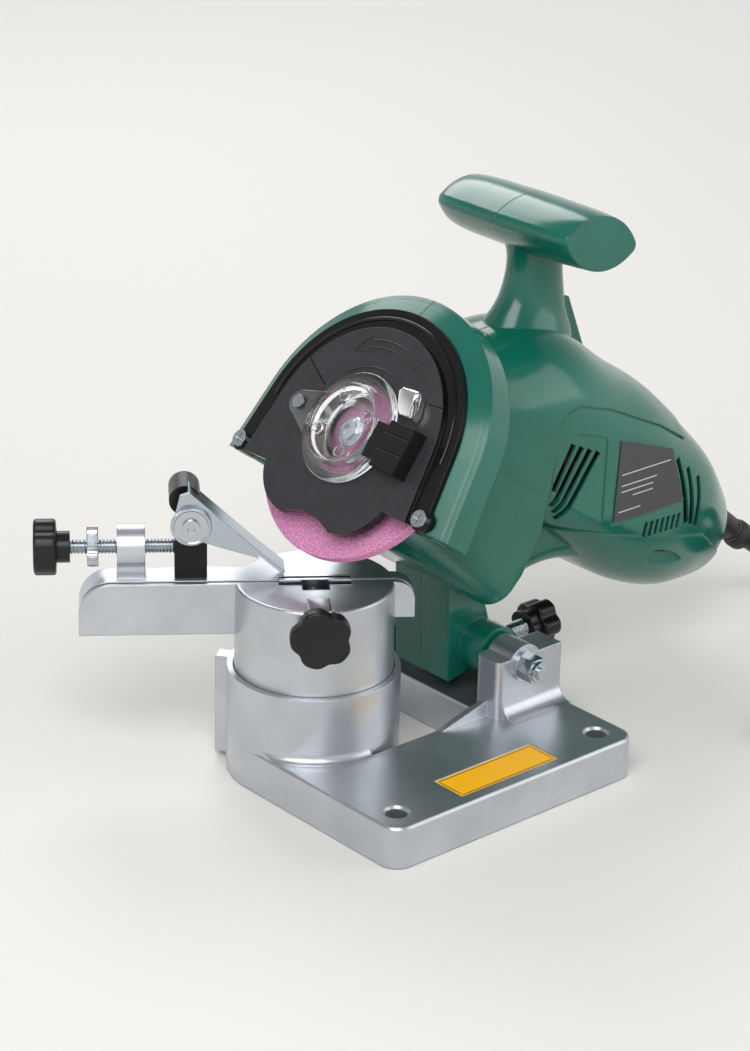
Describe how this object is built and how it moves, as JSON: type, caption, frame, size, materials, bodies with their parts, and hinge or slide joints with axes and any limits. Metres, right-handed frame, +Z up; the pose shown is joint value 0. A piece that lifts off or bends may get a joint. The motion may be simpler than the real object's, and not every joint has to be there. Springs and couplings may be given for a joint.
{
  "type": "electric chain sharpener",
  "caption": "Bench-mounted grinder for saw chains: a hinged motor head with a thin disc and hand guard over a swivelling chain vise on a cast foot, with its cord coiled beside it.",
  "frame": {"origin": "midway between the two bench bolt holes, on the underside of the foot", "axes": "+X along the bolt line towards the motor, +Y from the bolt line to the vise, +Z up; the head is stored raised on its spring"},
  "size_m": [0.4551, 0.2102, 0.2216],
  "materials": {
    "cast_alloy": "satin die-cast aluminium",
    "zinc_steel": "bright zinc-plated steel",
    "chromed_steel": "polished chrome-plated sheet",
    "blackened_steel": "black oxide",
    "green_plastic": "glossy moulded",
    "black_plastic": "satin moulded",
    "grey_plastic": "satin moulded",
    "clear_plastic": "clear polycarbonate",
    "abrasive": "pink vitrified aluminium oxide",
    "yellow_label": "printed film, left plain",
    "grey_label": "printed film, left plain",
    "white_plastic": "nylon",
    "black_rubber": "moulded",
    "cord_pvc": "smooth PVC sheath",
    "copper": "enamelled copper wire",
    "core_steel": "laminated steel",
    "carbon": "pressed carbon",
    "brass_part": "machined"
  },
  "bodies": {
    "base": {"base_casting": "cast_alloy", "base_label": "yellow_label", "hinge_bolt": "zinc_steel", "hinge_nut": "zinc_steel", "hinge_washers": "zinc_steel", "depth_lock_nut": "zinc_steel", "cord_lead": "cord_pvc", "cord_coil": "cord_pvc", "cord_tail": "cord_pvc", "plug": "black_rubber"},
    "turntable": {"vise_turntable": "cast_alloy", "rear_jaw_plate": "zinc_steel", "clamp_bracket": "zinc_steel", "turntable_stud": "zinc_steel", "turntable_washer": "zinc_steel"},
    "turntable_clamp": {"turntable_knob": "black_plastic"},
    "jaw": {"front_jaw_plate": "zinc_steel"},
    "clamp": {"clamp_screw": "zinc_steel", "clamp_knob": "black_plastic"},
    "stop_slide": {"stop_carrier": "blackened_steel", "pawl_pivot_screw": "zinc_steel"},
    "stop_adjuster": {"stop_screw": "zinc_steel", "stop_lock_nut": "zinc_steel", "stop_knob": "black_plastic"},
    "pawl": {"stop_pawl": "chromed_steel", "pawl_hub": "zinc_steel", "pawl_grip": "black_plastic"},
    "head": {"housing_right": "green_plastic", "housing_left": "green_plastic", "guard_cover": "grey_plastic", "cover_screws": "zinc_steel", "window_pivot": "zinc_steel", "front_spindle_bearing": "zinc_steel", "rear_spindle_bearing": "zinc_steel", "armature_bearings": "zinc_steel", "stator_core": "core_steel", "field_coils": "copper", "brush_holders": "brass_part", "carbon_brushes": "carbon", "switch_body": "black_plastic", "motor_label": "grey_label", "housing_screws": "zinc_steel", "strain_relief": "black_rubber"},
    "window": {"viewing_window": "clear_plastic"},
    "latch": {"window_latch": "black_plastic"},
    "paddle": {"switch_paddle": "green_plastic"},
    "wheel": {"grinding_wheel": "abrasive", "outer_flange": "zinc_steel", "inner_flange": "zinc_steel", "wheel_screw": "zinc_steel", "spindle": "zinc_steel", "spindle_gear": "core_steel"},
    "armature": {"armature_shaft": "zinc_steel", "armature_core": "core_steel", "commutator": "copper", "cooling_fan": "black_plastic", "armature_pinion": "core_steel"},
    "depth_stop": {"depth_pad": "white_plastic"},
    "depth_adjuster": {"depth_screw": "zinc_steel", "depth_knob": "black_plastic"}
  },
  "joints": [
    {"name": "head_hinge", "type": "hinge", "parent": "base", "child": "head", "pos_m": [0.0451, 0.0779, 0.038], "axis": [0, 1, 0], "range_deg": [-5, 0], "stiffness_Nm_per_rad": 4, "springref_deg": 51.57},
    {"name": "turntable_turn", "type": "hinge", "parent": "base", "child": "turntable", "pos_m": [-0.0305, 0.0779, 0], "axis": [0, 0, 1], "range_deg": [0, 73]},
    {"name": "turntable_knob_turn", "type": "hinge", "parent": "turntable", "child": "turntable_clamp", "pos_m": [-0.0305, 0.0779, 0.01], "axis": [0, 0, 1], "range_deg": [0, 360]},
    {"name": "jaw_slide", "type": "slide", "parent": "turntable", "child": "jaw", "axis": [-0.5948, -0.8039, 0], "range_m": [0, 0.0015]},
    {"name": "clamp_turn", "type": "hinge", "parent": "jaw", "child": "clamp", "pos_m": [-0.0305, 0.0779, 0.074], "axis": [-0.5948, -0.8039, 0], "range_deg": [0, 540]},
    {"name": "stop_carrier_slide", "type": "slide", "parent": "turntable", "child": "stop_slide", "axis": [-0.8039, 0.5948, 0], "range_m": [-0.0005, 0.007]},
    {"name": "stop_screw_turn", "type": "hinge", "parent": "stop_slide", "child": "stop_adjuster", "pos_m": [-0.07219, 0.12243, 0.0924], "axis": [-0.8039, 0.5948, 0], "range_deg": [-180, 2520]},
    {"name": "pawl_hinge", "type": "hinge", "parent": "stop_slide", "child": "pawl", "pos_m": [-0.0687, 0.10915, 0.1053], "axis": [-0.5948, -0.8039, 0], "range_deg": [0, 12], "stiffness_Nm_per_rad": 0.02, "springref_deg": -34.38},
    {"name": "depth_slide", "type": "slide", "parent": "base", "child": "depth_stop", "axis": [1, 0, 0], "range_m": [0, 0.00125]},
    {"name": "depth_turn", "type": "hinge", "parent": "depth_stop", "child": "depth_adjuster", "pos_m": [0.0677, 0.0779, 0.027], "axis": [1, 0, 0], "range_deg": [0, 360]},
    {"name": "window_hinge", "type": "hinge", "parent": "head", "child": "window", "pos_m": [-0.01226, 0.1089, 0.1432], "axis": [0.8049, 0, -0.5934], "range_deg": [-60, 0]},
    {"name": "latch_slide", "type": "slide", "parent": "head", "child": "latch", "axis": [0, -1, 0], "range_m": [0, 0.008]},
    {"name": "switch_press", "type": "slide", "parent": "head", "child": "paddle", "axis": [-1, 0, 0], "range_m": [0, 0.0025], "stiffness_N_per_m": 800, "springref_m": -0.0015},
    {"name": "wheel_spin", "type": "hinge", "parent": "head", "child": "wheel", "pos_m": [-0.0047, 0.0779, 0.1339], "axis": [0.8049, 0, -0.5934], "continuous": true},
    {"name": "armature_spin", "type": "hinge", "parent": "head", "child": "armature", "pos_m": [0.02022, 0.0779, 0.16771], "axis": [0.8049, 0, -0.5934], "continuous": true}
  ],
  "couplings": [
    {"joint": "clamp_turn", "follows": "jaw_slide", "rad_per_m": 6283.2},
    {"joint": "stop_screw_turn", "follows": "stop_carrier_slide", "rad_per_m": 6283.2},
    {"joint": "depth_turn", "follows": "depth_slide", "rad_per_m": 5026.5},
    {"joint": "armature_spin", "follows": "wheel_spin", "ratio": -2.2308}
  ]
}
